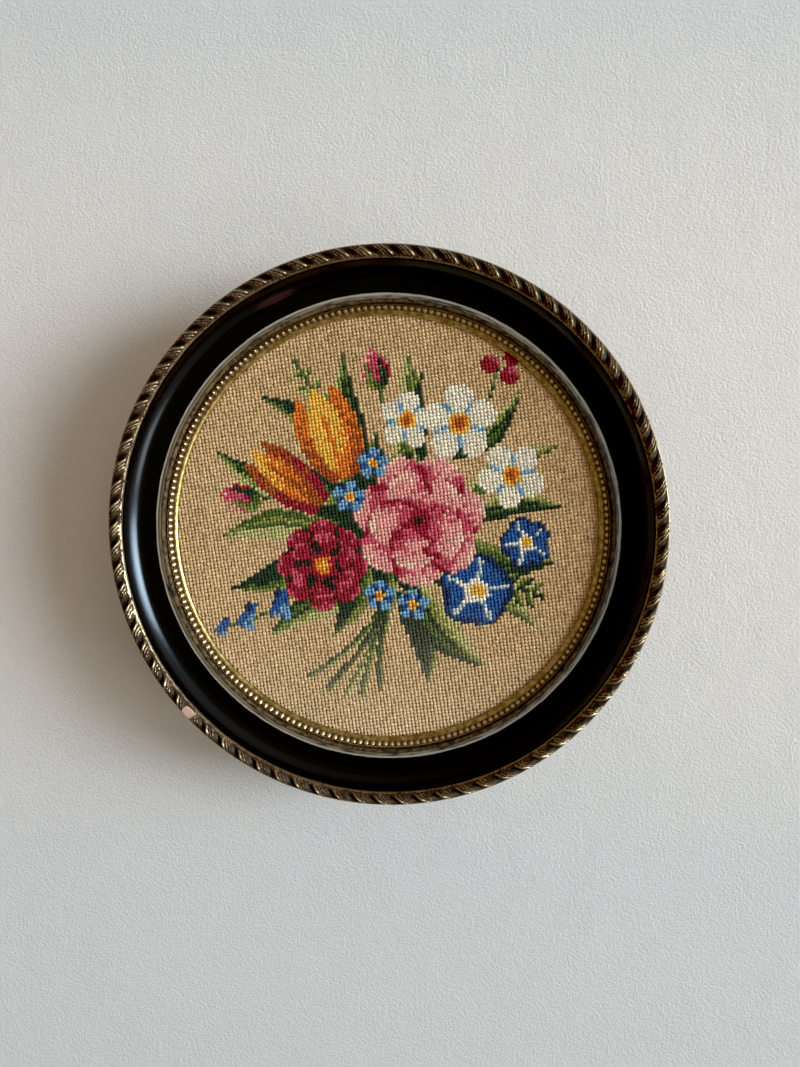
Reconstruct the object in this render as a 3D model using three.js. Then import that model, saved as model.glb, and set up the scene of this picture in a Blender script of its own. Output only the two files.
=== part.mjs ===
// A round needlepoint picture in its turned frame: a flat disc of tent-stitched canvas behind
// a beaded brass slip, held in a black lacquered ring that carries a gilt rope rim.
// Millimetres, +Z up. It hangs on a wall: the frame's axis is Y, the picture faces -Y,
// and the back lies in the plane y = 0, with the origin at its centre.
import * as THREE from 'three';

// Driving sizes. A height is a distance from the wall, so it runs along -Y.
const OUTER_RADIUS = 90;
const FRAME_DEPTH = 16;
const SIGHT_RADIUS = 69.5;
const FIT_GAP = 0.3;
const RING_STEPS = 120;

// Layers in the rebate, from the wall to the front
const BOARD_THICKNESS = 3.3;
const CLOTH_THICKNESS = 1.2;
const SLIP_THICKNESS = 0.8;
const CLOTH_BACK = BOARD_THICKNESS + FIT_GAP;
const SLIP_BACK = CLOTH_BACK + CLOTH_THICKNESS + FIT_GAP;
const FLANGE_FRONT = SLIP_BACK + SLIP_THICKNESS;
const LIP_UNDERSIDE = FLANGE_FRONT + FIT_GAP;

// Turned ring: rounded outside, rebate behind a lip, silvered fillet on the lip, and the cove
const LIP_RADIUS = 73.2;
const REBATE_RADIUS = 75.2;
const LAYER_RADIUS = REBATE_RADIUS - FIT_GAP;
const FILLET_CREST = 8.3;
const FILLET_SAG = 0.35;
const FILLET_STEP = 0.2;
const FILLET_POINTS = 4;
const COVE_INNER_RADIUS = 75.5;
const COVE_OUTER_RADIUS = 85.3;
const COVE_FLOOR = 7.7;
const COVE_POWER = 2.4;
const COVE_POINTS = 8;
const SHOULDER_HEIGHT = 12.4;
const SHOULDER_RADIUS = 89.2;
const BACK_RADIUS = 86;
const OUTSIDE_POWER = 2.5;
const OUTSIDE_POINTS = 4;

// Rope rim, whose grooves cross its width while they run part of a twist along it
const ROPE_INNER_RADIUS = 85.5;
const ROPE_EDGE_HEIGHT = 13.6;
const ROPE_UNDERCUT = 0.2;
const ROPE_POWER = 0.7;
const ROPE_POINTS = 5;
const TWISTS = 80;
const STEPS_PER_TWIST = 5;
const TWIST_LEAN = 0.65;
const TWIST_RELIEF = 0.45;

// Beaded slip
const BEAD_INNER_RADIUS = 70.7;
const BEAD_OUTER_RADIUS = 72.7;
const BEAD_CREST = 7.3;
const BEAD_POINTS = 3;
const SLIP_LIP_RISE = 0.5;
const SIGHT_EDGE = 0.35;

const { lerp } = THREE.MathUtils;

/**
 * A ring turned about Y from a closed section of [radius, height] points, which run from the
 * front's outer edge down the outside, in along the back, up the inside and out along the front.
 */
function turned(section, steps) {
  const loop = [...section, section[0]];
  const points = loop.map(([radius, height]) => new THREE.Vector2(radius, -height));
  return new THREE.LatheGeometry(points, steps);
}

/** Points along a curve, which a function gives from 0 at its first point to 1 at its last. */
function curve(count, pointAt) {
  return Array.from({ length: count }, (_, i) => pointAt(i / (count - 1)));
}

/** A flat disc about Y whose back lies at a height. */
function disc(radius, thickness, back) {
  const geometry = new THREE.CylinderGeometry(radius, radius, thickness, RING_STEPS);
  return geometry.translate(0, -back - thickness / 2, 0);
}

function frameRing() {
  const outside = curve(OUTSIDE_POINTS, (t) => [
    lerp(SHOULDER_RADIUS, BACK_RADIUS, t ** OUTSIDE_POWER),
    SHOULDER_HEIGHT * (1 - t),
  ]);
  const rebate = [
    [REBATE_RADIUS, 0],
    [REBATE_RADIUS, LIP_UNDERSIDE],
    [LIP_RADIUS, LIP_UNDERSIDE],
  ];
  const fillet = curve(FILLET_POINTS, (t) => [
    lerp(LIP_RADIUS, COVE_INNER_RADIUS - FILLET_STEP, t),
    FILLET_CREST - FILLET_SAG * (2 * t - 1) ** 2,
  ]);
  const cove = curve(COVE_POINTS, (t) => [
    lerp(COVE_INNER_RADIUS, COVE_OUTER_RADIUS, t),
    lerp(COVE_FLOOR, SHOULDER_HEIGHT, t ** COVE_POWER),
  ]);
  return turned([...outside, ...rebate, ...fillet, ...cove], RING_STEPS);
}

/**
 * The rope: a domed band between two plain edges. The dome falls towards its grooves, which
 * lean from the outer edge to the inner one as they go clockwise, seen from the front.
 */
function ropeRim() {
  const seat = SHOULDER_HEIGHT + FIT_GAP;
  const width = OUTER_RADIUS - ROPE_INNER_RADIUS;
  const margin = 0.5 / ROPE_POINTS;
  const dome = curve(ROPE_POINTS, (t) => {
    const across = lerp(1 - margin, margin, t);
    const rise = Math.sin(Math.PI * across) ** ROPE_POWER;
    return [OUTER_RADIUS - width * across, lerp(ROPE_EDGE_HEIGHT, FRAME_DEPTH, rise)];
  });
  const edges = [
    [OUTER_RADIUS, ROPE_EDGE_HEIGHT],
    [OUTER_RADIUS - ROPE_UNDERCUT, seat],
    [ROPE_INNER_RADIUS, seat],
    [ROPE_INNER_RADIUS, ROPE_EDGE_HEIGHT],
  ];
  const geometry = turned([...edges, ...dome], TWISTS * STEPS_PER_TWIST);
  const position = geometry.attributes.position;
  for (let i = 0; i < position.count; i += 1) {
    const rise = -position.getY(i) - ROPE_EDGE_HEIGHT;
    if (rise > 0) {
      const angle = Math.atan2(position.getZ(i), position.getX(i));
      const across = (OUTER_RADIUS - Math.hypot(position.getX(i), position.getZ(i))) / width;
      const groove = 0.5 - 0.5 * Math.cos(TWISTS * angle + 2 * Math.PI * TWIST_LEAN * across);
      position.setY(i, -ROPE_EDGE_HEIGHT - rise * (1 - TWIST_RELIEF * groove));
    }
  }
  geometry.computeVertexNormals();
  return geometry;
}

/** The slip: a flange under the ring's lip, the round bead band, and a lip down to the sight edge. */
function beadedSlip() {
  const beadCentre = (BEAD_INNER_RADIUS + BEAD_OUTER_RADIUS) / 2;
  const beadHalf = (BEAD_OUTER_RADIUS - BEAD_INNER_RADIUS) / 2;
  const beads = curve(BEAD_POINTS, (t) => {
    const angle = lerp(0.75, 0.25, t) * Math.PI;
    const rise = (BEAD_CREST - FLANGE_FRONT) * Math.sin(angle);
    return [beadCentre + beadHalf * Math.cos(angle), FLANGE_FRONT + rise];
  });
  const back = [
    [LAYER_RADIUS, FLANGE_FRONT],
    [LAYER_RADIUS, SLIP_BACK],
    [SIGHT_RADIUS, SLIP_BACK],
  ];
  const lip = [
    [SIGHT_RADIUS, SLIP_BACK + SIGHT_EDGE],
    [BEAD_INNER_RADIUS, FLANGE_FRONT + SLIP_LIP_RISE],
  ];
  return turned([...back, ...lip, ...beads, [BEAD_OUTER_RADIUS, FLANGE_FRONT]], RING_STEPS);
}

const blackLacquer = new THREE.MeshStandardMaterial({ color: 0x0b0a09, roughness: 0.25 });
const gilding = new THREE.MeshStandardMaterial({ color: 0x8c6c3a, roughness: 0.35, metalness: 0.9 });
const brass = new THREE.MeshStandardMaterial({ color: 0xc29a55, roughness: 0.3, metalness: 1 });
const wool = new THREE.MeshStandardMaterial({ color: 0xbf9f72, roughness: 0.95 });
const board = new THREE.MeshStandardMaterial({ color: 0x8f7350, roughness: 0.9 });

const pieces = [
  { name: 'back_board', geometry: disc(LAYER_RADIUS, BOARD_THICKNESS, 0), material: board },
  { name: 'needlepoint_cloth', geometry: disc(LAYER_RADIUS, CLOTH_THICKNESS, CLOTH_BACK), material: wool },
  { name: 'beaded_slip', geometry: beadedSlip(), material: brass },
  { name: 'frame_ring', geometry: frameRing(), material: blackLacquer },
  { name: 'rope_rim', geometry: ropeRim(), material: gilding },
];

const framedNeedlepoint = new THREE.Group();
for (const { name, geometry, material } of pieces) {
  const mesh = new THREE.Mesh(geometry, material);
  mesh.name = name;
  framedNeedlepoint.add(mesh);
}

export default framedNeedlepoint;
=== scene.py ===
import bpy
import numpy as np
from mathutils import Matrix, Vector


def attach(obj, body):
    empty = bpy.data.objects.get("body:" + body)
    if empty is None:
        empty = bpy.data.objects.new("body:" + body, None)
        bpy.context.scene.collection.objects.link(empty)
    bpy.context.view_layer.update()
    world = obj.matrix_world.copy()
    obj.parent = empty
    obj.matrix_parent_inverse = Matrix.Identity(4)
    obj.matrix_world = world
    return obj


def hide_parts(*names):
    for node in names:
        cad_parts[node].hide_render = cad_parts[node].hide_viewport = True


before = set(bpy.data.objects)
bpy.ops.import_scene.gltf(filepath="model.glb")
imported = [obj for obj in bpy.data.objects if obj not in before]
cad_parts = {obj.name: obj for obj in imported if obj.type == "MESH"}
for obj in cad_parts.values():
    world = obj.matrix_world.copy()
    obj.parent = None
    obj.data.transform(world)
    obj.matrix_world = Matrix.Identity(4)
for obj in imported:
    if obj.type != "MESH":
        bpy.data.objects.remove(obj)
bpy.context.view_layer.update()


# Camera. It is held about 27 cm off the wall, a little to the right of the frame's axis and above it, and
# turned down to the picture. Its lens is wide, so the nearer rings look larger than the picture.
MM = 0.001
IMAGE_HEIGHT_PIXELS = 1067
FOCAL_LENGTH_PIXELS = 801
CAMERA_PLACE = (21.5, -267.5, 21.0)
CAMERA_AIM = (5.40, -13.45, -0.35)
CAMERA_CLIP_START = 0.01


def facing(place, aim):
    """The turn that points a camera or a lamp from its place to its aim."""
    return (Vector(aim) - Vector(place)).to_track_quat("-Z", "Y").to_euler()


camera_data = bpy.data.cameras.new("camera")
camera_data.lens = camera_data.sensor_width * FOCAL_LENGTH_PIXELS / IMAGE_HEIGHT_PIXELS
camera_data.clip_start = CAMERA_CLIP_START
camera = bpy.data.objects.new("camera", camera_data)
camera.location = [MM * offset for offset in CAMERA_PLACE]
camera.rotation_euler = facing(CAMERA_PLACE, CAMERA_AIM)
bpy.context.scene.collection.objects.link(camera)
bpy.context.scene.camera = camera


# Frame ring. One ring of wood turned to a deep cove, with a low round fillet beside the picture and a
# rebate behind it. The cove and the outside are lacquered black, and the fillet is silvered by hand.
RING_STEPS = 384
LIP_RADIUS = 73.2
LIP_UNDERSIDE = 6.2
REBATE_RADIUS = 75.2
FILLET_CREST = 8.3
FILLET_SAG = 0.35
FILLET_POWER = 2.5
FILLET_STEP = 0.12
FILLET_POINTS = 11
COVE_INNER_RADIUS = 75.5
COVE_OUTER_RADIUS = 85.3
COVE_START = 0.475
COVE_RISE = 4.5
COVE_POWER = 2.15
COVE_POINTS = 36
SHOULDER_RADIUS = 89.2
SHOULDER_HEIGHT = 12.4
BACK_RADIUS = 86.0
OUTSIDE_POWER = 2.5
OUTSIDE_POINTS = 14
CREASE_ANGLE = np.radians(38)
SILVER_EDGE = 76.1
SILVER_FOOT = 6.6
BRIGHT_SILVER = 75.35
GROOVE_RADIUS = 74.25
GROOVE_HALF_WIDTH = 0.16
STREAKS_ROUND = 14
STREAKS_ACROSS = 2.2
RUB_ANGLE = np.radians(115)
RUB_RADIUS = 82.2
RUB_WIDTH = 1.2
RUB_LENGTH = 8.0
BARE_BACK = 0.5
LACQUER_BLACK = (0.0030, 0.0027, 0.0027, 1)
LACQUER_GROUND = (0.034, 0.011, 0.008, 1)
LACQUER_GLINT = (0.70, 0.84, 1.0, 1)
SILVER_CLEAN = (0.52, 0.51, 0.47, 1)
SILVER_OLIVE = (0.30, 0.26, 0.18, 1)
# The tarnish colour and the groove's dark colour also serve as painted shade on the ring's right side.
SILVER_TARNISH_AND_SHADE = (0.012, 0.008, 0.005, 1)
STRIP_BROWN = (0.17, 0.105, 0.042, 1)
STRIP_DARK = (0.018, 0.010, 0.005, 1)
GROOVE_DIRT_AND_SHADE = (0.010, 0.006, 0.004, 1)
WOOD_DARK = (0.05, 0.026, 0.014, 1)
WOOD_PALE = (0.13, 0.075, 0.04, 1)


def new_piece(name, places, faces, finish, crease=CREASE_ANGLE):
    """A piece from places in millimetres and faces of three or four corners, smooth but for its creases."""
    mesh = bpy.data.meshes.new(name)
    mesh.vertices.add(len(places))
    mesh.vertices.foreach_set("co", (MM * places).astype(np.float32).ravel())
    mesh.loops.add(faces.size)
    mesh.loops.foreach_set("vertex_index", faces.astype(np.int32).ravel())
    mesh.polygons.add(len(faces))
    mesh.polygons.foreach_set("loop_start", np.arange(0, faces.size, faces.shape[1], dtype=np.int32))
    mesh.update(calc_edges=True)
    mesh.shade_smooth()
    mesh.set_sharp_from_angle(angle=crease)
    mesh.materials.append(finish)
    piece = bpy.data.objects.new(name, mesh)
    bpy.context.scene.collection.objects.link(piece)
    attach(piece, "root")
    return piece


def give_attribute(piece, name, values, kind="FLOAT"):
    """Stores one number or colour for each point of a piece, for its finish to read."""
    attribute = piece.data.attributes.new(name, kind, "POINT")
    field = "color" if kind == "FLOAT_COLOR" else "value"
    attribute.data.foreach_set(field, values.astype(np.float32).ravel())


def round_the_axis(angle, radius, height):
    """Places at an angle from +X towards +Z, a distance off the frame's axis and a height off the wall."""
    angle, radius, height = np.broadcast_arrays(angle, radius, height)
    return np.stack([radius * np.cos(angle), -height, radius * np.sin(angle)], axis=-1)


def joined_faces(rows, columns, wrap_columns=True):
    """Four-sided faces over a grid whose rows close on each other, and whose columns may close too."""
    row = np.arange(rows)[:, None]
    column = np.arange(columns if wrap_columns else columns - 1)[None, :]
    here = row * columns
    after = (row + 1) % rows * columns
    beside = (column + 1) % columns
    corners = np.broadcast_arrays(here + column, here + beside, after + beside, after + column)
    return np.stack(corners, axis=-1).reshape(-1, 4)


def turned_angles(steps):
    """Equal steps round the axis, as a column that a section's row is carried along."""
    return np.linspace(0, 2 * np.pi, steps, endpoint=False)[:, None]


def ring_section():
    """The ring's section from the shoulder down the outside, in along the back, up the rebate and out over
    the front. The outside curves in by a power of the way down it, the fillet falls by a power of the way
    from its crown, and the cove is a flat floor that turns up by a power of the way to the shoulder."""
    way = np.linspace(0, 1, OUTSIDE_POINTS)
    outside = (
        SHOULDER_RADIUS + (BACK_RADIUS - SHOULDER_RADIUS) * way**OUTSIDE_POWER,
        SHOULDER_HEIGHT * (1 - way),
    )
    rebate = (
        np.array([REBATE_RADIUS, REBATE_RADIUS, LIP_RADIUS]),
        np.array([0, LIP_UNDERSIDE, LIP_UNDERSIDE]),
    )
    crown = np.linspace(0, 1, FILLET_POINTS)
    fillet = (
        LIP_RADIUS + (COVE_INNER_RADIUS - FILLET_STEP - LIP_RADIUS) * crown,
        FILLET_CREST - FILLET_SAG * np.abs(2 * crown - 1) ** FILLET_POWER,
    )
    hollow = np.linspace(0, 1, COVE_POINTS)
    turned_up = np.clip((hollow - COVE_START) / (1 - COVE_START), 0, 1)
    cove = (
        COVE_INNER_RADIUS + (COVE_OUTER_RADIUS - COVE_INNER_RADIUS) * hollow,
        SHOULDER_HEIGHT - COVE_RISE * (1 - turned_up**COVE_POWER),
    )
    return np.concatenate([outside, rebate, fillet, cove], axis=1)


class Shade:
    """A shader socket that takes part in Python arithmetic: each operator adds one Math node."""

    def __init__(self, socket):
        self.socket = socket

    def node(self, kind, sockets, output=0, **settings):
        """Adds a node, sets its settings, then fills or links its sockets by name or place."""
        tree = self.socket.id_data
        made = tree.nodes.new(kind)
        for name, setting in settings.items():
            setattr(made, name, setting)
        for name, given in sockets.items():
            if isinstance(given, Shade):
                tree.links.new(given.socket, made.inputs[name])
            else:
                made.inputs[name].default_value = given
        return Shade(made.outputs[output]) if made.outputs else None

    def math(self, operation, *values, clamp=False):
        """What one Math node makes of the values."""
        return self.node("ShaderNodeMath", dict(enumerate(values)), operation=operation, use_clamp=clamp)

    def __add__(self, other):
        return self.math("ADD", self, other)

    def __sub__(self, other):
        return self.math("SUBTRACT", self, other)

    def __rsub__(self, other):
        return self.math("SUBTRACT", other, self)

    def __mul__(self, other):
        return self.math("MULTIPLY", self, other)

    def __truediv__(self, other):
        return self.math("DIVIDE", self, other)

    def __pow__(self, other):
        return self.math("POWER", self, other)

    __radd__ = __add__
    __rmul__ = __mul__

    def held(self):
        """The value kept between 0 and 1."""
        return self.math("ADD", self, 0.0, clamp=True)

    def sine(self):
        """The sine of this value in radians."""
        return self.math("SINE", self)

    def blend(self, first, second):
        """The first colour where this value is 0, and the second where it is 1."""
        sockets = {0: self, 6: first, 7: second}
        return self.node("ShaderNodeMix", sockets, output=2, data_type="RGBA")

    def tinted(self, other):
        """This colour times another one, part by part."""
        sockets = {0: 1.0, 6: self, 7: other}
        return self.node("ShaderNodeMix", sockets, output=2, data_type="RGBA", blend_type="MULTIPLY")

    def speckle(self, scale, detail=3.0, roughness=0.5):
        """Noise about a half, in cells of one over the scale, where this is a place in metres."""
        sockets = {"Vector": self, "Scale": scale, "Detail": detail, "Roughness": roughness}
        return self.node("ShaderNodeTexNoise", sockets)

    def relief(self, distance):
        """A surface normal that this value raises by a distance in metres."""
        return self.node("ShaderNodeBump", {"Height": self, "Distance": distance, "Strength": 1.0})

    def axes(self, names):
        """The named parts of a vector."""
        return [self.node("ShaderNodeSeparateXYZ", {0: self}, output=name) for name in names]

    def stretched(self, *factors):
        """A place scaled along each axis, so that a pattern on it is drawn out."""
        return self.node("ShaderNodeVectorMath", {0: self, 1: factors}, operation="MULTIPLY")

    def attribute(self, name, output="Fac"):
        """What a piece stores for each of its points."""
        return self.node("ShaderNodeAttribute", {}, output=output, attribute_name=name)

    def surface(self, **sockets):
        """Closes the material with one surface shader."""
        named = {name.replace("_", " "): given for name, given in sockets.items()}
        shader = self.node("ShaderNodeBsdfPrincipled", named)
        self.node("ShaderNodeOutputMaterial", {"Surface": shader})


def new_finish(name):
    """An empty material, and the place on a piece in metres."""
    material = bpy.data.materials.new(name)
    material.use_nodes = True
    material.node_tree.nodes.clear()
    return material, Shade(material.node_tree.nodes.new("ShaderNodeTexCoord").outputs["Object"])


def lacquer_and_silver():
    """Black lacquer with one long rub down to its red ground. The silver on the fillet runs in fine streaks
    round the ring, from a ragged outer edge to a dark groove, with a brown strip between the groove and the
    picture. Painted shade darkens the silver towards the ring's right side. The back is bare wood."""
    finish, place = new_finish("black_lacquer")
    x, y, z = place.axes("XYZ")
    off_axis = (x * x + z * z) ** 0.5
    sideways = x / off_axis
    upwards = z / off_axis
    radius = off_axis / MM
    height = y / -MM
    sockets = {0: sideways * STREAKS_ROUND, 1: upwards * STREAKS_ROUND, 2: radius * STREAKS_ACROSS}
    streaks = place.node("ShaderNodeCombineXYZ", sockets).speckle(1, 4, 0.6)
    brushed = place.speckle(900, 2)
    mottle = place.speckle(700, 3, 0.6)
    clouds = place.speckle(60, 4)
    beside_rub = (z * np.cos(RUB_ANGLE) - x * np.sin(RUB_ANGLE)) / MM
    rub_side = ((x * np.cos(RUB_ANGLE) + z * np.sin(RUB_ANGLE)) / MM).held()
    rub_band = 1 - ((radius - RUB_RADIUS) / RUB_WIDTH) ** 2 - (beside_rub / RUB_LENGTH) ** 2
    rubbed = ((rub_band + (streaks - 0.5) * 2.4) * rub_side).held()
    black = (rubbed + (clouds - 0.62).held()).held().blend(LACQUER_BLACK, LACQUER_GROUND)
    ragged_edge = SILVER_EDGE + (streaks - 0.5) * 0.5
    silvered = ((ragged_edge - radius) * 9).held() * ((height - SILVER_FOOT) * 8).held()
    # Painted shade: towards the ring's right side the silver darkens to its tarnish and groove colours.
    painted_shade_right = ((sideways + 0.7) * 0.36).held()
    tarnish = ((streaks - 0.5) * 6 + (clouds - 0.5) * 3 + 1.1 - painted_shade_right * 1.6).held()
    clean = ((radius - BRIGHT_SILVER) * 2.4 + (streaks - 0.5) * 2.4 + 0.5).held()
    olive = tarnish.blend(SILVER_TARNISH_AND_SHADE, SILVER_OLIVE)
    brown = ((mottle - 0.5) * 5 + 0.5).held().blend(STRIP_DARK, STRIP_BROWN)
    beside_groove = radius - GROOVE_RADIUS + (streaks - 0.5) * 0.3
    groove = (1 - (beside_groove / GROOVE_HALF_WIDTH) ** 2).held()
    stained = ((beside_groove + 0.05) * 12).held().blend(brown, clean.blend(olive, SILVER_CLEAN))
    silver = (groove + painted_shade_right * 0.7).held().blend(stained, GROOVE_DIRT_AND_SHADE)
    bare = ((BARE_BACK - height) * 6).held()
    wood = place.stretched(1, 1, 6).speckle(160, 4).blend(WOOD_DARK, WOOD_PALE)
    place.surface(
        Base_Color=bare.blend(silvered.blend(black, silver), wood),
        Metallic=silvered * (0.1 + clean * 0.3),
        Roughness=0.15 + clouds * 0.06 + rubbed * 0.2 + silvered * 0.36 + bare * 0.5,
        IOR=1.5,
        Specular_Tint=LACQUER_GLINT,
        Normal=(brushed * 0.25 + clouds * 0.5 + silvered * streaks * 0.8).relief(0.00005),
    )
    return finish


ring_radius, ring_height = ring_section()
frame_ring = new_piece(
    "turned_ring",
    round_the_axis(turned_angles(RING_STEPS), ring_radius, ring_height).reshape(-1, 3),
    joined_faces(RING_STEPS, len(ring_radius)),
    lacquer_and_silver(),
)
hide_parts("frame_ring")


# Rope rim. A moulded rope of gilded composition between two thin plain edges, laid on the ring's
# shoulder. Leaning reeds and dark scooped eyes take turns round it, and age has browned the gilding.
ROPE_OUTER_RADIUS = 90.0
ROPE_INNER_RADIUS = 85.5
ROPE_EDGE_WIDTH = 0.45
ROPE_EDGE_HEIGHT = 13.6
ROPE_SEAT = 12.7
ROPE_UNDERCUT = 0.2
ROPE_CREST = 16.0
ROPE_ROLL = (0.06, 0.94)
ROPE_POINTS = 15
EDGE_INSET = (ROPE_EDGE_WIDTH, 0.34, 0.18, 0.05, 0)
EDGE_RISE = (0.1, 0.08, -0.06, -0.3)
INNER_EDGE_SHARE = 0.7
EDGE_GILT = (1.4, 0.72)
TWISTS = 80
STEPS_PER_TWIST = 48
ROPE_CREASE = np.radians(70)
TWIST_LEAN = 0.62
REED_ENDS = (0, 0.23, 0.40, 0.56)
REED_FULLNESS = (1.3, 0.85, 0.7, 0.0)
REED_RISE = 0.23
ROOF_FOOT = 0.33
ROOF_POWER = 0.575
ROOF_ROUNDING = 0.035
LOWEST_RISE = 0.08
EYE_PLACE = 0.80
EYE_SPAN = 0.205
EYE_MIDDLE = 0.06
EYE_REACH = 0.84
EYE_DEPTH = 0.36
UNEVEN_SPAN = 0.08
UNEVEN_PLACE = 0.01
UNEVEN_DEPTH = 0.2
INNER_FILLET_START = -0.68
INNER_FILLET_BLEND = 0.2
INNER_FILLET_GILT = 0.3
CHIP_ANGLE = np.radians(222.9)
CHIP_RADIUS = 87.9
CHIP_REACH = (2.3, 1.7)
CHIP_RISE = 0.5
LEAF_BRIGHT = (0.455, 0.385, 0.245, 1)
LEAF_DULL = (0.168, 0.137, 0.08, 1)
BOLE_BROWN = (0.082, 0.038, 0.021, 1)
BOLE_DARK = (0.016, 0.009, 0.006, 1)
EYE_BRONZE = (0.036, 0.038, 0.029, 1)
COMPOSITION_PALE = (0.62, 0.44, 0.36, 1)

carver = np.random.default_rng(3)


def rope_places():
    """Places of the rope, and for each its share of an eye, of a gilt reed and of the chip. The winding grows
    with the angle and leans over evenly from the outer edge to the inner one. In each twist an eye of uneven
    size is a scoop with an oval edge, and three unequal reeds are waves of a cosine. The section is a rounded
    roof that a plain fillet ends on the inner side, and the chip cuts it off flat."""
    angle = turned_angles(TWISTS * STEPS_PER_TWIST)
    roll = np.linspace(*ROPE_ROLL, ROPE_POINTS) * np.pi
    across = np.cos(roll)
    middle = (ROPE_OUTER_RADIUS + ROPE_INNER_RADIUS) / 2
    half_width = (ROPE_OUTER_RADIUS - ROPE_INNER_RADIUS) / 2
    dome_radius = middle + (half_width - ROPE_EDGE_WIDTH) * across
    twist = TWISTS * angle / (2 * np.pi) + TWIST_LEAN * (1 - across) / 2
    winding = twist % 1
    wider, later, deeper = carver.uniform(-1, 1, (3, TWISTS))[:, np.floor(twist).astype(int) % TWISTS]
    span = EYE_SPAN * (1 + UNEVEN_SPAN * wider)
    beside_eye = (winding - EYE_PLACE - UNEVEN_PLACE * later) / span
    eye = 1 - beside_eye**2 - ((across - EYE_MIDDLE) / EYE_REACH) ** 2
    fillet = np.clip((INNER_FILLET_START - across) / INNER_FILLET_BLEND, 0, 1)
    scoop = np.clip(eye, 0, 1) * (1 - fillet)
    strand = np.interp(winding, REED_ENDS, range(len(REED_ENDS)))
    fullness = np.array(REED_FULLNESS)[strand.astype(int)]
    reed = fullness * (0.5 - 0.5 * np.cos(2 * np.pi * strand))
    line = reed + (INNER_FILLET_GILT - reed) * fillet
    roof = 1 - (1 - ROOF_FOOT) * (across**2 + ROOF_ROUNDING) ** ROOF_POWER
    scooped = EYE_DEPTH * (1 + UNEVEN_DEPTH * deeper) * scoop
    rise = roof - REED_RISE * (1 - np.minimum(line, 1)) - scooped
    chip_along = dome_radius * (angle - CHIP_ANGLE) / CHIP_REACH[0]
    chip_across = (dome_radius - CHIP_RADIUS) / CHIP_REACH[1]
    chip = np.clip(2 - 2 * chip_along**4 - 2 * chip_across**4, 0, 1)
    rise = rise + (CHIP_RISE - rise) * chip
    dome_height = ROPE_EDGE_HEIGHT + (ROPE_CREST - ROPE_EDGE_HEIGHT) * np.clip(rise, LOWEST_RISE, 1)
    edge_inset = np.array(EDGE_INSET)
    outer_edge = ROPE_OUTER_RADIUS - edge_inset
    outer_edge[-1] -= ROPE_UNDERCUT
    edge_radius = np.concatenate([outer_edge, ROPE_INNER_RADIUS + INNER_EDGE_SHARE * edge_inset[::-1]])
    outer_height = np.append(ROPE_EDGE_HEIGHT + np.array(EDGE_RISE), ROPE_SEAT)
    edge_height = np.concatenate([outer_height, outer_height[::-1]])
    plain = np.zeros((len(angle), len(edge_radius)))
    radius = np.concatenate([edge_radius, dome_radius[::-1]]) + np.zeros((len(angle), 1))
    height = np.concatenate([edge_height + plain, dome_height[:, ::-1]], axis=1)
    scoop_there = np.concatenate([plain, scoop[:, ::-1]], axis=1)
    edge_gilt = np.repeat(EDGE_GILT, len(edge_inset))
    line_there = np.concatenate([plain + edge_gilt, line[:, ::-1]], axis=1)
    chip_there = np.concatenate([plain, chip[:, ::-1]], axis=1)
    return round_the_axis(angle, radius, height), scoop_there, line_there, chip_there


def aged_gilding():
    """Gold leaf worn to lines on the reeds and edges, brown bole between them, dark bronze in the eyes, and
    pale composition at the one chip."""
    finish, place = new_finish("aged_gilding")
    scoop = place.attribute("scoop")
    grime = place.speckle(260, 4, 0.6)
    dark_eye = ((scoop - 0.3 + (grime - 0.5) * 0.3) * 5).held()
    fine = place.speckle(1500, 2)
    leaf_left = ((place.attribute("line") - 0.4 + (grime - 0.5) * 2 + (fine - 0.5) * 1.6) * 4).held()
    bole = grime.blend(BOLE_DARK, BOLE_BROWN)
    gold_leaf = fine.blend(LEAF_DULL, LEAF_BRIGHT)
    chipped = ((place.attribute("chip") - 0.5 + (grime - 0.5) * 0.4) * 6).held()
    gilded = dark_eye.blend(leaf_left.blend(bole, gold_leaf), EYE_BRONZE)
    place.surface(
        Base_Color=chipped.blend(gilded, COMPOSITION_PALE),
        Metallic=(leaf_left + dark_eye).held() * (1 - chipped),
        Roughness=0.55 - leaf_left * 0.25 - dark_eye * 0.08 + fine * 0.1 + chipped * 0.4,
        Specular_IOR_Level=0.2,
        Normal=(grime * 0.6 + fine * 0.4).relief(0.00006),
    )
    return finish


rope, rope_scoop, rope_line, rope_chip = rope_places()
rope_rim = new_piece(
    "rope_rim_gilt", rope.reshape(-1, 3), joined_faces(*rope.shape[:2]), aged_gilding(), ROPE_CREASE
)
give_attribute(rope_rim, "scoop", rope_scoop)
give_attribute(rope_rim, "line", rope_line)
give_attribute(rope_rim, "chip", rope_chip)
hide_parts("rope_rim")


# Beaded slip. A thin ring pressed from brass sheet: a flange trapped under the ring's lip, a row of domed
# beads with dark gaps between them, and a smooth lip down to the sight edge on the cloth.
SLIP_RADIUS = 74.9
SLIP_BACK = 5.1
FLANGE_FRONT = 5.9
SIGHT_RADIUS = 69.5
BEADS = 210
STEPS_PER_BEAD = 10
BEAD_INNER_RADIUS = 70.85
BEAD_OUTER_RADIUS = 72.55
BEAD_BED = 6.15
BEAD_RISE = 1.15
BEAD_LENGTH = 2.0
BEAD_CREST = 0.42
BEAD_FLANK = 1.2
BEAD_FULLNESS = 0.85
BEAD_POINTS = 11
SIGHT_EDGE = 5.4
LIP_GAP = 0.1
LIP_STEEP = np.radians(65)
LIP_FLAT = np.radians(8)
LIP_POINTS = 9
RIM_OFFSET = (0.05, 0.3, 0.55)
RIM_HEIGHT = (6.35, 6.45, FLANGE_FRONT)
RIM_CLEAN = 0.3
DARKER_TOWARDS = (-0.9, 1.1)
DARKER_FROM = 0.9
BRASS_BRIGHT = (0.70, 0.57, 0.27, 1)
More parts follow.
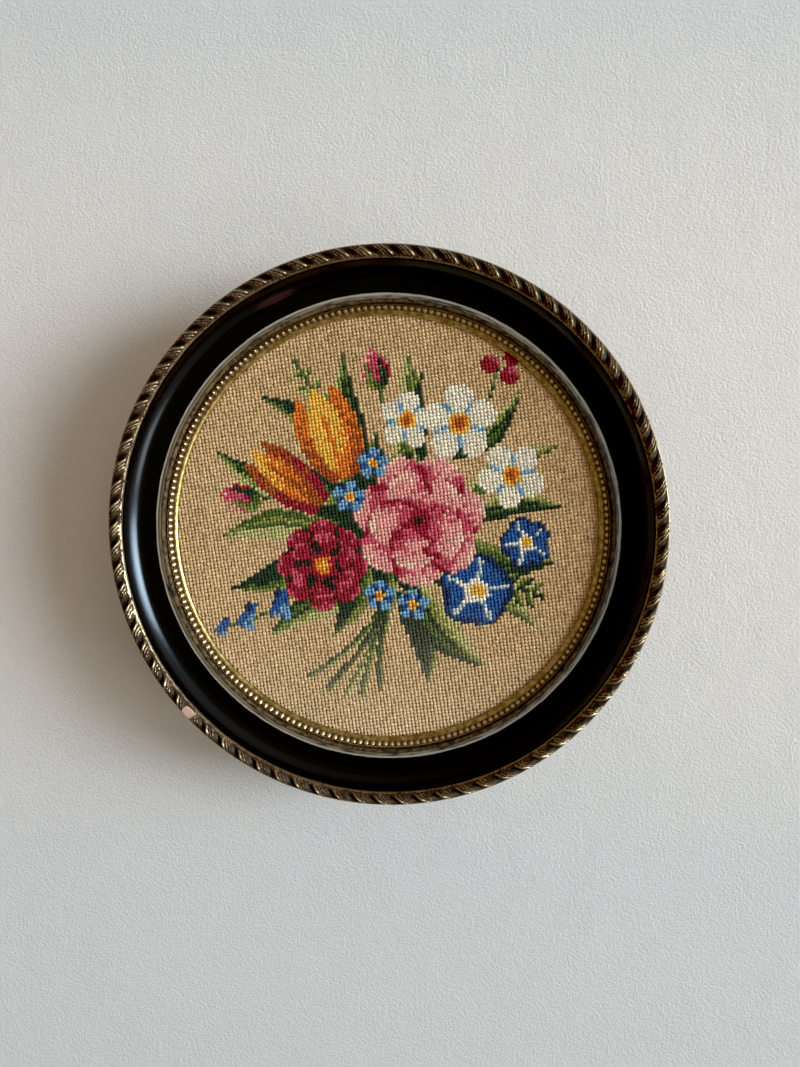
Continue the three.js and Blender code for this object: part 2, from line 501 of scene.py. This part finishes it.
BRASS_BROWN = (0.34, 0.235, 0.075, 1)
BEAD_METAL = (0.64, 0.54, 0.33, 1)
BEAD_DARKER = (0.29, 0.24, 0.155, 1)
BEAD_DIRT = (0.125, 0.064, 0.022, 1)


def slip_places():
    """Places of the slip, and for each how far it stands clear of the dirt. A bead is a dome that falls by
    powers of the ways along and across it, with its crest towards the outside, and the lip is an arc that
    steepens from the beads to the sight edge."""
    angle = turned_angles(BEADS * STEPS_PER_BEAD)
    turn = BEADS * angle / (2 * np.pi) % 1
    bead_radius = np.linspace(BEAD_INNER_RADIUS, BEAD_OUTER_RADIUS, BEAD_POINTS)
    along = (turn - 0.5) * 2 * np.pi * bead_radius / BEADS / (BEAD_LENGTH / 2)
    across = np.interp(np.linspace(-1, 1, BEAD_POINTS), (-1, BEAD_CREST, 1), (-1, 0, 1))
    relief = np.clip(1 - along**2 - np.abs(across) ** BEAD_FLANK, 0, 1) ** BEAD_FULLNESS
    bead_height = BEAD_BED + BEAD_RISE * relief
    slope = np.linspace(LIP_STEEP, LIP_FLAT, LIP_POINTS)
    bend = (BEAD_INNER_RADIUS - LIP_GAP - SIGHT_RADIUS) / (np.sin(LIP_STEEP) - np.sin(LIP_FLAT))
    lip_radius = SIGHT_RADIUS + bend * (np.sin(LIP_STEEP) - np.sin(slope))
    lip_height = SIGHT_EDGE + bend * (np.cos(slope) - np.cos(LIP_STEEP))
    back_radius = np.array([SLIP_RADIUS, SLIP_RADIUS, SIGHT_RADIUS])
    back_height = np.array([FLANGE_FRONT, SLIP_BACK, SLIP_BACK])
    rim_radius = BEAD_OUTER_RADIUS + np.array(RIM_OFFSET)
    rim_height = np.array(RIM_HEIGHT)
    steps = len(angle)
    plain = np.zeros((steps, 1))
    radius = np.concatenate([back_radius, lip_radius, bead_radius, rim_radius]) + plain
    height = [np.concatenate([back_height, lip_height]) + plain, bead_height, rim_height + plain]
    smooth = np.ones((steps, len(back_radius) + len(lip_radius)))
    shown = [smooth, relief, RIM_CLEAN * smooth[:, : len(rim_radius)]]
    return round_the_axis(angle, radius, np.concatenate(height, axis=1)), np.concatenate(shown, axis=1)


def old_brass():
    """Lacquered brass gone brown, with dark dirt between the beads and small spots of tarnish. The beads are
    darker towards the upper left, with wider dark gaps there."""
    finish, place = new_finish("old_brass")
    stands_out = place.attribute("bead")
    tarnish = place.speckle(600, 4, 0.6)
    x, z = place.axes("XZ")
    # The beads grow darker towards the upper left, with wider dark gaps between them there.
    towards_upper_left = (x * DARKER_TOWARDS[0] + z * DARKER_TOWARDS[1]) / (MM * BEAD_INNER_RADIUS)
    darker_upper_left = ((towards_upper_left - DARKER_FROM) * 2).held()
    clean = ((stands_out - 0.2 - darker_upper_left * 0.2 + (tarnish - 0.5) * 0.4) * 3).held()
    worn = (((x * x + z * z) ** 0.5 / MM - BEAD_INNER_RADIUS) * 6).held()
    brassy = ((tarnish - 0.42) * 4).held().blend(BRASS_BROWN, BRASS_BRIGHT)
    metal = worn.blend(brassy, darker_upper_left.blend(BEAD_METAL, BEAD_DARKER))
    place.surface(
        Base_Color=clean.blend(BEAD_DIRT, metal),
        Metallic=clean,
        Roughness=0.50 - clean * 0.22 + tarnish * 0.14,
        Normal=tarnish.relief(0.00004),
    )
    return finish


slip, slip_relief = slip_places()
beaded_slip = new_piece(
    "brass_slip_beaded", slip.reshape(-1, 3), joined_faces(*slip.shape[:2]), old_brass()
)
give_attribute(beaded_slip, "bead", slip_relief)
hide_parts("beaded_slip")


# Canvas. A round of plain cotton canvas, cut a little larger than the sight edge and stretched flat on
# the back board. It shows only as dark holes between the stitches that cover it, and its brown is painted
# far darker, as the shade in those holes.
CANVAS_RADIUS = 74.9
CANVAS_BACK = 3.6
CANVAS_FRONT = 4.15
CANVAS_STEPS = 192
CANVAS_RINGS = 12
CANVAS_FIRST_RING = 0.08
CANVAS_ROUNDING = 0.1
THREAD_PITCH = 0.00058
COTTON_SHADED_DARK = (0.03, 0.018, 0.008, 1)
COTTON_SHADED_BROWN = (0.09, 0.055, 0.026, 1)


def canvas_places():
    """Rings of points from the canvas's front out over its edge to its back, then the two centre points."""
    flat = np.linspace(CANVAS_FIRST_RING, 1, CANVAS_RINGS) * (CANVAS_RADIUS - CANVAS_ROUNDING)
    radius = np.concatenate([flat, [CANVAS_RADIUS, CANVAS_RADIUS], flat[::-1]])
    height = np.concatenate([
        np.full(CANVAS_RINGS, CANVAS_FRONT),
        [CANVAS_FRONT - CANVAS_ROUNDING, CANVAS_BACK + CANVAS_ROUNDING],
        np.full(CANVAS_RINGS, CANVAS_BACK),
    ])
    rings = round_the_axis(turned_angles(CANVAS_STEPS), radius, height).reshape(-1, 3)
    centres = np.array([[0, -CANVAS_FRONT, 0], [0, -CANVAS_BACK, 0]])
    return np.concatenate([rings, centres]), len(radius)


def canvas_faces(columns):
    """The rings' faces cut into triangles, and a fan of triangles round each centre point."""
    quads = joined_faces(CANVAS_STEPS, columns, wrap_columns=False)
    first = np.arange(CANVAS_STEPS) * columns
    after = np.roll(first, -1)
    last = columns - 1
    centre = np.full(CANVAS_STEPS, CANVAS_STEPS * columns)
    front_fan = np.stack([centre, first, after], axis=1)
    back_fan = np.stack([centre + 1, after + last, first + last], axis=1)
    return np.concatenate([quads[:, [0, 1, 2]], quads[:, [0, 2, 3]], front_fan, back_fan])


def cotton_canvas_painted_shade():
    """Brown cotton canvas of even threads that cross over and under, darkened with painted shade."""
    finish, place = new_finish("cotton_canvas_painted_shade")
    x, z = place.axes("XZ")
    weave = (x * (np.pi / THREAD_PITCH)).sine() * (z * (np.pi / THREAD_PITCH)).sine()
    fibres = place.speckle(1800, 2)
    # Painted shade: the canvas colour is far darker than cotton, to stand for the shade in the stitch holes.
    colour = (weave * 0.3 + fibres * 0.7).held().blend(COTTON_SHADED_DARK, COTTON_SHADED_BROWN)
    place.surface(Base_Color=colour, Roughness=0.95, Normal=(weave + fibres * 0.5).relief(0.0001))
    return finish


canvas_points, canvas_columns = canvas_places()
canvas = new_piece("canvas_round", canvas_points, canvas_faces(canvas_columns), cotton_canvas_painted_shade())
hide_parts("needlepoint_cloth")


# Stitches. Tent stitch in wool: each is a short slanted grain over one crossing of the canvas, in rows
# that climb a little to the right. A plain sand ground, in two dye lots, surrounds a generic bouquet.
STITCH_PITCH = (1.17, 1.13)
ROW_TURN = np.radians(8)
STITCHED_RADIUS = 70.6
STITCH_SLANT = np.radians(52)
STITCH_LENGTH = 1.64
STITCH_WIDTH = 1.14
STITCH_THICKNESS = 0.48
STITCH_HEIGHT = 4.56
STITCH_DIP = 0.5
GRAIN_SIDES = 6
GRAIN_RINGS = (-0.66, 0, 0.66)
GRAIN_GIRTH = (0.88, 1, 0.88)
LOT_SCATTER = 2.2
SHADING_SCATTER = 0.38
SLANT_SCATTER = np.radians(5)
SIZE_SCATTER = 0.06
PLACE_SCATTER = 0.045
TONE_SCATTER = 0.09
PATCHINESS = 0.05
BRIGHTEST_TONE = 1.12
PALER_COLOUR = (0.70, 0.60, 0.46)
PALER_SHARE = 0.3
PALER_BELOW = -25
PALER_REACH = 40
FIBRE_SHADE = (0.62, 0.6, 0.58, 1)
FIBRE_LIGHT = (1.3, 1.3, 1.3, 1)
YARNS = {
    "sand": (0.645, 0.462, 0.256),
    "wheat": (0.585, 0.412, 0.217),
    "cream": (0.83, 0.79, 0.66),
    "mist": (0.52, 0.62, 0.64),
    "sky": (0.17, 0.36, 0.60),
    "blue": (0.02, 0.095, 0.32),
    "navy": (0.009, 0.024, 0.095),
    "crimson": (0.30, 0.010, 0.030),
    "rose": (0.56, 0.085, 0.14),
    "pink": (0.79, 0.35, 0.34),
    "shell": (0.86, 0.60, 0.50),
    "gold": (0.83, 0.48, 0.075),
    "orange": (0.70, 0.19, 0.022),
    "rust": (0.36, 0.08, 0.016),
    "umber": (0.022, 0.011, 0.008),
    "forest": (0.012, 0.035, 0.016),
    "moss": (0.075, 0.13, 0.028),
    "olive": (0.24, 0.27, 0.065),
    "sage": (0.48, 0.48, 0.20),
}
YARN_NAMES = list(YARNS)
GREENS = ("forest", "moss", "olive", "sage")
DEEP_GREENS = ("forest", "forest", "moss", "olive")
PALE_GREENS = ("moss", "olive", "sage", "sage")

chance = np.random.default_rng(7)


def stitch_places():
    """Crossings of the turned canvas grid that lie within the stitched round."""
    count = int(STITCHED_RADIUS / min(STITCH_PITCH)) + 2
    steps = np.arange(-count, count + 1)
    column, row = np.meshgrid(steps * STITCH_PITCH[0], steps * STITCH_PITCH[1])
    x = column * np.cos(ROW_TURN) - row * np.sin(ROW_TURN)
    z = column * np.sin(ROW_TURN) + row * np.cos(ROW_TURN)
    inside = np.hypot(x, z) < STITCHED_RADIUS
    return x[inside], z[inside]


stitch_x, stitch_z = stitch_places()
stitch_count = len(stitch_x)
hand = chance.uniform(-SHADING_SCATTER, SHADING_SCATTER, stitch_count)
drift = np.sin(0.11 * stitch_x + 1) + np.sin(0.17 * stitch_z - 0.08 * stitch_x)
lot = drift + LOT_SCATTER * chance.uniform(-1, 1, stitch_count)
yarn = np.where(lot > 0, YARN_NAMES.index("sand"), YARN_NAMES.index("wheat"))


def work(patch, tones, level=0.5):
    """Works a patch of stitches in yarns that run from the first tone at level 0 to the last at level 1,
    mixed a little where they meet, as a hand shades them."""
    mixed = level * len(tones) + (hand if len(tones) > 1 else 0)
    pick = np.clip(np.floor(mixed), 0, len(tones) - 1).astype(int)
    numbers = np.array([YARN_NAMES.index(tone) for tone in tones])
    yarn[patch] = np.broadcast_to(numbers[pick], stitch_count)[patch]


def seen_from(centre, angle):
    """Each stitch's place along and across an axis that leaves a motif's centre at an angle in degrees."""
    turn = np.radians(angle)
    dx = stitch_x - centre[0]
    dz = stitch_z - centre[1]
    return dx * np.cos(turn) + dz * np.sin(turn), dz * np.cos(turn) - dx * np.sin(turn)


def along_line(start, end):
    """The share of the way from start to end, and the distance to the left of that line."""
    run = np.subtract(end, start)
    along, off = seen_from(start, np.degrees(np.arctan2(run[1], run[0])))
    return along / np.hypot(*run), off


def stem(start, end, bow, width, tones):
    """A stalk bowed sideways by half a sine wave, shaded across its width."""
    way, off = along_line(start, end)
    off = off - bow * np.sin(np.pi * np.clip(way, 0, 1))
    work((way > 0) & (way < 1) & (np.abs(off) < width / 2), tones, 0.5 + off / width)


def leaf(base, tip, width, bow, tones):
    """A pointed leaf: its half width is a sine of the way along it, and it is shaded across a dark rib."""
    way, off = along_line(base, tip)
    run = np.clip(way, 0, 1)
    off = off - bow * np.sin(np.pi * run)
    half = width / 2 * np.sin(np.pi * run**0.75) + 1e-6
    blade = (way > 0) & (way < 1) & (np.abs(off) < half)
    work(blade, tones, 0.5 + 0.5 * np.clip(off / half, -1, 1))
    work(blade & (np.abs(off) < 0.62) & (way < 0.75) & (half > 2), tones[:1])


def fern(base, tip, pairs, size, tones):
    """A straight stalk with pairs of small leaves that shorten towards its tip."""
    stem(base, tip, 0, 1.3, tones[:1])
    heading = np.arctan2(tip[1] - base[1], tip[0] - base[0])
    for share in 0.25 + 0.7 * np.arange(pairs) / pairs:
        foot = (1 - share) * np.array(base) + share * np.array(tip)
        reach = size * (1.15 - 0.5 * share)
        for turn in (heading - 0.84, heading + 0.84):
            leaf(foot, foot + reach * np.array([np.cos(turn), np.sin(turn)]), 0.42 * reach, 0, tones)


def petals(centre, count, first, reach, radius, tones):
    """Round petals set about a centre, each shaded from its foot to its rim and edged where it lies over
    the next one."""
    for angle in first + 360 / count * np.arange(count):
        u, v = seen_from(centre, angle)
        out = np.hypot(u - reach, v) / radius
        way = (u - reach) / radius
        work(out < 1, tones, 0.46 + 0.42 * way - 0.34 * np.clip(-v / radius, 0, 1) ** 2)
        work((out < 1) & (out > 0.8) & (way < 0.5) & (v < 0), tones[:1])


def rose(centre, radius):
    """A full rose: three rounds of petals about a dark heart."""
    petals(centre, 7, 12, 0.60 * radius, 0.40 * radius, ("crimson", "rose", "rose", "pink", "shell"))
    petals(centre, 5, 40, 0.38 * radius, 0.36 * radius, ("crimson", "rose", "pink", "shell"))
    petals(centre, 4, 75, 0.20 * radius, 0.25 * radius, ("crimson", "rose", "pink"))
    out = np.hypot(*seen_from(centre, 0)) / radius
    work(out < 0.15, ("umber", "crimson"), out / 0.15)


def camellia(centre, radius):
    """A dark red camellia: two rounds of petals about gold stamens."""
    petals(centre, 8, 0, 0.66 * radius, 0.36 * radius, ("umber", "crimson", "crimson", "rose"))
    petals(centre, 6, 25, 0.42 * radius, 0.34 * radius, ("umber", "crimson", "rose"))
    out = np.hypot(*seen_from(centre, 0)) / radius
    work(out < 0.3, ("gold", "orange", "crimson"), out / 0.3)


def tulip(foot, tip, width, tones):
    """A cup that swells from its foot to three points, with a lit petal in front."""
    way, off = along_line(foot, tip)
    across = off / (width / 2)
    half = np.sin(np.pi * np.clip(0.08 + 0.8 * way, 0, 1)) ** 0.55
    top = 0.8 + 0.2 * np.abs(np.cos(1.5 * np.pi * across))
    cup = (way > 0) & (way < top) & (np.abs(across) < half)
    work(cup, tones[:2], 0.2 + 0.6 * way)
    front = cup & (np.abs(across) < 0.56 * np.sin(np.pi * np.clip(way, 0, 1)) ** 0.6)
    work(front, tones, 0.35 + 0.55 * way + 0.25 * across)
    work(front & (np.abs(across) < 0.07) & (way < 0.7), tones[1:2])


def five_lobes(centre, radius, angle):
    """The share of a flower's radius, and a wave that is 1 along the middle of each of five petals."""
    u, v = seen_from(centre, angle)
    return np.hypot(u, v) / radius, np.abs(np.cos(2.5 * np.arctan2(v, u)))


def blossom(centre, radius, angle, tones, heart):
    """A flat flower of five round petals, shaded where they meet, with a bright heart."""
    out, lobe = five_lobes(centre, radius, angle)
    flower = out < 0.58 + 0.42 * lobe**0.6
    work(flower, tones, 0.06 + 0.75 * lobe + 0.25 * out)
    work(flower & (lobe < 0.2), tones[:1])
    work(out < 0.3, heart, out / 0.3)


def morning_glory(centre, radius, angle):
    """A blue trumpet seen from the front, darker towards its rim, with a pale star about a gold throat."""
    out, lobe = five_lobes(centre, radius, angle)
    edge = 0.86 + 0.14 * lobe
    work(out < edge, ("sky", "blue", "blue", "navy"), 0.12 + 0.8 * (out / edge) ** 1.6)
    work((out < 0.86) & (lobe > 0.93 + 0.05 * out), ("cream", "mist"), out)
    work(out < 0.34, ("gold", "cream"), out / 0.34)


def bell(neck, mouth, width):
    """A small blue bell that widens from its neck to a scalloped mouth."""
    way, off = along_line(neck, mouth)
    across = off / (width / 2)
    half = 0.5 + 0.5 * np.clip(way, 0, 1) ** 1.6
    mouth_edge = 0.86 + 0.14 * np.abs(np.cos(1.5 * np.pi * across))
    cup = (way > 0) & (way < mouth_edge) & (np.abs(across) < half)
    work(cup, ("navy", "blue", "sky"), 0.3 + 0.45 * way + 0.3 * across)


def bud(foot, tip, width):
    """A closed rosebud with green sepals round its foot."""
    way, off = along_line(foot, tip)
    across = off / (width / 2)
    half = np.sin(np.pi * np.clip(0.12 + 0.86 * way, 0, 1)) ** 0.7
    closed = (way > 0) & (way < 1) & (np.abs(across) < half)
    work(closed, ("crimson", "rose", "pink"), 0.25 + 0.4 * way + 0.35 * across)
    sepals = closed & (way < 0.42 - 0.3 * np.cos(2 * np.pi * across))
    work(sepals, ("forest", "moss", "olive"), 0.5 + 0.5 * across)


def berry(centre, radius):
    """A round red berry, lit from the upper right."""
    u, v = seen_from(centre, 45)
    work(np.hypot(u, v) < radius, ("crimson", "crimson", "rose"), 0.45 + 0.45 * u / radius)


# The bouquet is worked from its back to its front, in millimetres from the middle of the picture
for angle in np.arange(0, 360, 24):
    turn = np.radians(angle)
    leaf((0, 2), (30 * np.cos(turn), 2 + 30 * np.sin(turn)), 11, 2, DEEP_GREENS)
for end, bow, tones in (
    ((-26, -50), 3, GREENS),
    ((-20, -54), 2, DEEP_GREENS),
    ((-14, -57), 1, PALE_GREENS),
    ((-8, -56), -1, GREENS),
    ((-2, -54), -2, DEEP_GREENS),
):
    stem((3, -20), end, bow, 2.3, tones)
for base, tip, width, bow, tones in (
    ((0, -18), (-40, -37), 12, -4, GREENS),
    ((4, -20), (14, -52), 11, 4, DEEP_GREENS),
    ((10, -18), (34, -46), 12, -4, GREENS),
    ((16, -14), (50, -32), 10, 4, PALE_GREENS),
    ((22, -4), (56, -10), 11, -4, DEEP_GREENS),
    ((-22, -4), (-52, -20), 11, 4, DEEP_GREENS),
    ((-20, 0), (-56, -3), 10, -3, PALE_GREENS),
    ((-24, 12), (-57, 26), 9, 3, GREENS),
    ((-14, 24), (-42, 44), 8, -3, DEEP_GREENS),
    ((-6, 24), (-14, 58), 9, 3, GREENS),
    ((4, 22), (6, 60), 8, -3, PALE_GREENS),
    ((12, 22), (12, 52), 8, 3, DEEP_GREENS),
    ((20, 24), (44, 46), 8, -4, GREENS),
    ((26, 10), (57, 28), 8, 3, PALE_GREENS),
    ((28, 4), (58, 8), 8, 3, GREENS),
    ((-8, -8), (-18, -36), 10, 3, DEEP_GREENS),
):
    leaf(base, tip, width, bow, tones)
fern((28, -14), (52, -22), 4, 9, GREENS)
fern((-14, 28), (-30, 56), 4, 8, PALE_GREENS)
stem((18, 24), (36, 53), -4, 1.4, GREENS)
for centre in ((34, 54), (40, 50), (41, 56)):
    berry(centre, 2.9)
stem((-26, -16), (-53, -33), 3, 1.5, GREENS)
for neck, mouth, width in (
    ((-35, -20), (-36, -30), 8),
    ((-45, -25), (-48, -34), 7),
    ((-53, -30), (-57, -36), 5),
):
    bell(neck, mouth, width)
stem((-20, 10), (-44, 8), -3, 1.6, GREENS)
bud((-42, 9), (-55, 12), 9)
stem((6, 26), (-2, 48), 2, 1.6, GREENS)
bud((-2, 46), (-5, 59), 9)
tulip((-13, 17), (-24, 46), 21, ("rust", "orange", "gold", "gold"))
tulip((-21, 8), (-45, 26), 16, ("crimson", "rust", "orange", "gold"))
for centre, radius, angle in (((24, 35), 12.5, 20), ((41, 18), 11, 50), ((7, 36), 9.5, 80)):
    blossom(centre, radius, angle, ("sky", "mist", "cream", "cream"), ("rust", "orange", "gold"))
morning_glory((30, -20), 12.5, 10)
morning_glory((46, -4), 8.5, 40)
camellia((-21, -12), 15)
rose((11, 3), 22)
for centre in ((-4, 22), (-12, 11), (-2, -22), (9, -25)):
    blossom(centre, 5.4, 15, ("navy", "blue", "sky"), ("orange", "gold"))


def grain():
    """One stitch at size 1: six-sided rings of two girths between two end points. Gives its points along,
    across and up, and its triangles."""
    side = np.arange(GRAIN_SIDES)
    beside = (side + 1) % GRAIN_SIDES
    around = 2 * np.pi * side / GRAIN_SIDES
    along = np.array(GRAIN_RINGS)[:, None]
    girth = np.array(GRAIN_GIRTH)[:, None]
    rings = np.broadcast_arrays(along, girth * np.cos(around), girth * np.sin(around))
    points = np.concatenate([np.stack(rings, axis=-1).reshape(-1, 3), [[-1, 0, 0], [1, 0, 0]]])
    last = GRAIN_SIDES * (len(GRAIN_RINGS) - 1)
    end = np.full(GRAIN_SIDES, last + GRAIN_SIDES)
    triangles = [
        np.stack([end, beside, side], axis=1),
        np.stack([end + 1, last + side, last + beside], axis=1),
    ]
    for ring in range(0, last, GRAIN_SIDES):
        above = ring + GRAIN_SIDES
        triangles.append(np.stack([ring + side, ring + beside, above + beside], axis=1))
        triangles.append(np.stack([ring + side, above + beside, above + side], axis=1))
    return points, np.concatenate(triangles)


GRAIN_POINTS, GRAIN_TRIANGLES = grain()
stitch_angle = STITCH_SLANT + SLANT_SCATTER * chance.standard_normal(stitch_count)
stitch_scale = 1 + SIZE_SCATTER * chance.standard_normal((stitch_count, 3))
stitch_shift = PLACE_SCATTER * chance.standard_normal((stitch_count, 3))
blotches = 0.5 * np.sin(0.31 * stitch_x + 0.6) * np.sin(0.27 * stitch_z)
bands = 0.5 * np.sin(0.9 * stitch_z + 0.1 * stitch_x)
tone_shift = TONE_SCATTER * chance.standard_normal(stitch_count) + PATCHINESS * (blotches + bands)
stitch_tone = np.minimum(np.exp(tone_shift), BRIGHTEST_TONE)


def stitched_places(patch):
    """The grain laid at each stitch of a patch: scaled, arched by the square of the way along it, turned to
    its slant and moved to its crossing."""
    size = np.array([STITCH_LENGTH, STITCH_WIDTH, STITCH_THICKNESS]) / 2 * stitch_scale[patch]
    along, across, up = np.moveaxis(GRAIN_POINTS * size[:, None, :], -1, 0)
    up = STITCH_HEIGHT + up - STITCH_DIP * GRAIN_POINTS[:, 0] ** 2
    cosine = np.cos(stitch_angle[patch])[:, None]
    sine = np.sin(stitch_angle[patch])[:, None]
    shift = stitch_shift[patch]
    x = (stitch_x[patch] + shift[:, 0])[:, None] + along * cosine - across * sine
    z = (stitch_z[patch] + shift[:, 1])[:, None] + along * sine + across * cosine
    return np.stack([x, -(up + shift[:, 2:]), z], axis=-1)


def wool_yarn():
    """Worsted wool: the stitch's own dyed colour, fine fibres along it and a soft sheen."""
    finish, place = new_finish("wool_yarn")
    fibres = place.speckle(2600, 3, 0.6)
    dyed = place.attribute("yarn", output="Color")
    place.surface(
        Base_Color=dyed.tinted(fibres.blend(FIBRE_SHADE, FIBRE_LIGHT)),
        Roughness=0.9,
        Sheen_Weight=0.15,
        Sheen_Roughness=0.5,
        Normal=fibres.relief(0.00008),
    )
    return finish


def stitched_piece(name, patch):
    """All stitches of a patch as one mesh, with the yarn's colour and a flat map of the picture's face."""
    places = stitched_places(patch)
    count, points = places.shape[:2]
    faces = (GRAIN_TRIANGLES + points * np.arange(count)[:, None, None]).reshape(-1, 3)
    piece = new_piece(name, places.reshape(-1, 3), faces, wool)
    colours = np.array(list(YARNS.values()))[yarn[patch]] * stitch_tone[patch][:, None]
    # The stitches turn paler towards the bottom of the picture.
    paler = PALER_SHARE * np.clip((PALER_BELOW - stitch_z[patch]) / PALER_REACH, 0, 1)[:, None]
    colours = (1 - paler) * colours + paler * np.array(PALER_COLOUR)
    dyed = np.concatenate([np.clip(colours, 0, 1), np.ones((count, 1))], axis=1)
    give_attribute(piece, "yarn", np.repeat(dyed, points, axis=0), "FLOAT_COLOR")
    flat_map = piece.data.uv_layers.new(name="OFBake")
    flat = places.reshape(-1, 3)[faces.ravel()][:, [0, 2]] / (2 * CANVAS_RADIUS) + 0.5
    flat_map.uv.foreach_set("vector", flat.astype(np.float32).ravel())
    return piece


def in_yarns(*names):
    """The stitches that are worked in any of the named yarns."""
    return np.isin(yarn, [YARN_NAMES.index(name) for name in names])


wool = wool_yarn()
stitches = [
    stitched_piece("stitched_ground_sand", in_yarns("sand")),
    stitched_piece("stitched_ground_wheat", in_yarns("wheat")),
    stitched_piece("stitched_greenery", in_yarns(*GREENS)),
    stitched_piece("stitched_flowers", ~in_yarns("sand", "wheat", *GREENS)),
]


# Back board. A plain round of brown pulp board that closes the rebate, flush with the back of the ring.
# Its CAD solid is already its shape, so it only gets a finish.
PULP_DARK = (0.14, 0.085, 0.042, 1)
PULP_PALE = (0.36, 0.25, 0.14, 1)


def pulp_board():
    """Brown board with short fibres, soft stains and a matt face."""
    finish, place = new_finish("pulp_board")
    fibres = place.stretched(1, 1, 5).speckle(380, 4, 0.65)
    stains = place.speckle(28, 4)
    colour = (fibres * 0.6 + stains * 0.5 - 0.05).held().blend(PULP_DARK, PULP_PALE)
    place.surface(Base_Color=colour, Roughness=0.9, Normal=fibres.relief(0.0001))
    return finish


back_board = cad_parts["back_board"]
back_board.data.materials.clear()
back_board.data.materials.append(pulp_board())


# Wall. Pale rough plaster behind the frame, with a little air between them. It is clear from behind, so
# that the back can be looked at.
WALL_HALF = 1.5
WALL_GAP = 0.0166
PLASTER_PALE = (0.80, 0.805, 0.81, 1)
PLASTER_PAINTED_FALLOFF = (0.685, 0.74, 0.80, 1)
PAINTED_LIGHT_HEIGHT = 0.03


def plaster():
    """Pale plaster with a fine pebbled skin, seen from the front only. Its colour holds a painted pool of
    light:
    pale at the picture's height, and darker and bluer above and below it, in soft patches.
    """
    finish, place = new_finish("plaster")
    (z,) = place.axes("Z")
    pebbles = place.speckle(1300, 3, 0.55)
    swells = place.speckle(90, 3)
    # Painted light: the plaster is palest at the picture's height and goes darker and bluer above and below.
    painted_falloff = ((z - PAINTED_LIGHT_HEIGHT) ** 2 * 45 + (swells - 0.5) * 0.5).held()
    colour = painted_falloff.blend(PLASTER_PALE, PLASTER_PAINTED_FALLOFF)
    sockets = {"Base Color": colour, "Roughness": 0.95, "Normal": (pebbles + swells * 0.8).relief(0.00034)}
    skin = place.node("ShaderNodeBsdfPrincipled", sockets)
    clear = place.node("ShaderNodeBsdfTransparent", {})
    behind = place.node("ShaderNodeNewGeometry", {}, output="Backfacing")
    one_sided = place.node("ShaderNodeMixShader", {0: behind, 1: skin, 2: clear})
    place.node("ShaderNodeOutputMaterial", {"Surface": one_sided})
    return finish


wall_mesh = bpy.data.meshes.new("wall")
wall_corners = [(WALL_HALF * x, WALL_GAP, WALL_HALF * z) for x, z in ((-1, -1), (1, -1), (1, 1), (-1, 1))]
wall_mesh.from_pydata(wall_corners, [], [(0, 1, 2, 3)])
wall_mesh.materials.append(plaster())
wall = bpy.data.objects.new("wall", wall_mesh)
wall.visible_shadow = False
bpy.context.scene.collection.objects.link(wall)


# Light. A cool window well round to the right throws the soft shadow to the left, with a warm pane below it
# and a high lamp in front. The room is dim and warm, darker straight ahead, and a soft light behind the wall
# serves the views of the back.
BLACK_LEVEL = 0.009
ROOM_DIM = (0.32, 0.22, 0.14, 1)
ROOM_LIT = (0.66, 0.56, 0.47, 1)
ROOM_AHEAD = (0.29, 0.24, 0.175, 1)


def add_window(name, place, size, power, colour, aim=(0, 0, 0), spread=180):
    """A soft rectangular light at a place in metres that faces its aim and spreads over so many degrees."""
    lamp = bpy.data.lights.new(name, "AREA")
    lamp.shape = "RECTANGLE"
    lamp.size, lamp.size_y = size
    lamp.energy = power
    lamp.color = colour
    lamp.spread = np.radians(spread)
    window = bpy.data.objects.new(name, lamp)
    window.location = place
    window.rotation_euler = facing(place, aim)
    window.visible_camera = False
    bpy.context.scene.collection.objects.link(window)
    return window


add_window(
    "window",
    place=(2.260, -1.030, 0.26),
    size=(1.7, 1.15),
    power=8.6,
    colour=(0.88, 0.97, 1.0),
    aim=(-0.02, 0, 0.03),
    spread=45,
)
add_window("low_pane", place=(2.037, -1.106, -0.937), size=(1.02, 0.7), power=9.5, colour=(1.0, 0.9, 0.8))
high_lamp = add_window(
    "high_lamp", place=(1.0, -1.9, 1.0), size=(0.9, 0.9), power=3.0, colour=(1.0, 0.84, 0.68)
)
high_lamp.visible_glossy = False
add_window("back_fill", place=(-0.4, 0.6, 0.4), size=(0.5, 0.5), power=6.0, colour=(1.0, 0.96, 0.9))

room = bpy.data.worlds.new("room")
room.use_nodes = True
room.node_tree.nodes.clear()
direction = Shade(room.node_tree.nodes.new("ShaderNodeTexCoord").outputs["Generated"])
east, inward, upward = direction.axes("XYZ")
ahead = direction.node(
    "ShaderNodeMapRange",
    {"Value": 0 - inward, "From Min": 0.5, "From Max": 0.85},
    interpolation_type="SMOOTHSTEP",
)
glow = ahead.blend((east * 0.6 + 0.5).held().blend(ROOM_DIM, ROOM_LIT), ROOM_AHEAD)
brightness = 0.97 + upward * 0.12 - upward * upward * 0.4
background = direction.node("ShaderNodeBackground", {"Color": glow, "Strength": brightness})
direction.node("ShaderNodeOutputWorld", {"Surface": background})
bpy.context.scene.world = room
view = bpy.context.scene.view_settings
view.view_transform = "Standard"
view.use_curve_mapping = True
view.curve_mapping.black_level = (BLACK_LEVEL, BLACK_LEVEL, BLACK_LEVEL)
